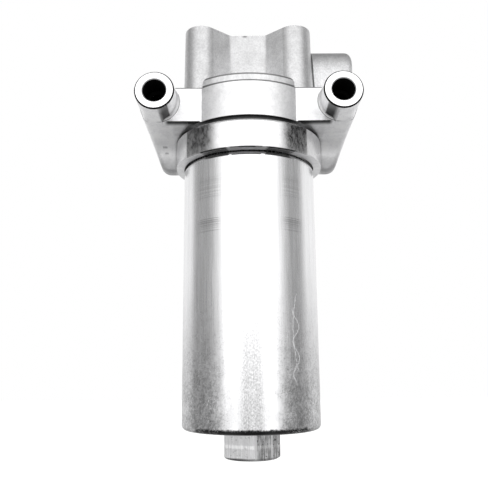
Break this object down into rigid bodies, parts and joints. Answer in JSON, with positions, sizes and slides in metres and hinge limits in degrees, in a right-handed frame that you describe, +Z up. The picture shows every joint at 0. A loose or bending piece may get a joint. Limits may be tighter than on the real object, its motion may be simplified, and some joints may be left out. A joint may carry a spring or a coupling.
{
  "type": "pilot filter",
  "caption": "Hydraulic pilot filter: cast head with front ports, a bolted mounting face and a valve boss, a screwed bowl with a spanner hexagon, and a pleated element and bypass valve inside.",
  "frame": {"origin": "centre of the flat top mounting face, midway between its four tapped holes", "axes": "+Z up, out of the mounting face and along the bowl's axis; the ports look along -Y; the valve boss points along +X"},
  "size_m": [0.1145, 0.0814, 0.2232],
  "materials": {
    "cast_aluminium": "bead-blasted casting with machined faces",
    "turned_aluminium": "turned, lightly scratched and stained",
    "seal_rubber": "smooth",
    "backup_plastic": "matte",
    "pressed_steel": "zinc plated sheet",
    "filter_media": "glass fibre between steel mesh",
    "spring_steel": "drawn wire",
    "turned_steel": "turned and hardened"
  },
  "bodies": {
    "head": {"head": "cast_aluminium", "bowl_o_ring": "seal_rubber", "bowl_backup_ring": "backup_plastic", "bypass_seat": "turned_steel", "bypass_spring": "spring_steel", "bypass_shim": "turned_steel", "bypass_plug": "turned_steel", "plug_o_ring": "seal_rubber", "passage_sleeve_left": "turned_steel", "passage_sleeve_right": "turned_steel", "passage_ball_left": "turned_steel", "passage_ball_right": "turned_steel"},
    "element": {"element_top_cap": "pressed_steel", "element_o_ring": "seal_rubber", "core_tube": "pressed_steel", "pleated_media": "filter_media", "element_bottom_cap": "pressed_steel"},
    "spring_seat": {"spring_seat": "turned_steel", "element_spring": "spring_steel"},
    "bowl": {"bowl": "turned_aluminium"},
    "poppet": {"bypass_poppet": "turned_steel"}
  },
  "joints": [
    {"name": "bowl_drop", "type": "slide", "parent": "head", "child": "spring_seat", "axis": [0, 0, -1], "range_m": [0, 0.012]},
    {"name": "bowl_unscrew", "type": "hinge", "parent": "spring_seat", "child": "bowl", "pos_m": [0, 0, -0.134], "axis": [0, 0, -1], "range_deg": [0, 2160]},
    {"name": "element_float", "type": "slide", "parent": "head", "child": "element", "axis": [0, 0, -1], "range_m": [0, 0.006], "stiffness_N_per_m": 1640, "springref_m": -0.012, "deforming": ["element_spring"]},
    {"name": "bypass_lift", "type": "slide", "parent": "head", "child": "poppet", "axis": [1, 0, 0], "range_m": [0, 0.003], "stiffness_N_per_m": 4830, "springref_m": -0.0033, "deforming": ["bypass_spring"]}
  ],
  "couplings": [
    {"joint": "bowl_drop", "follows": "bowl_unscrew", "m_per_rad": 0.0003183}
  ]
}
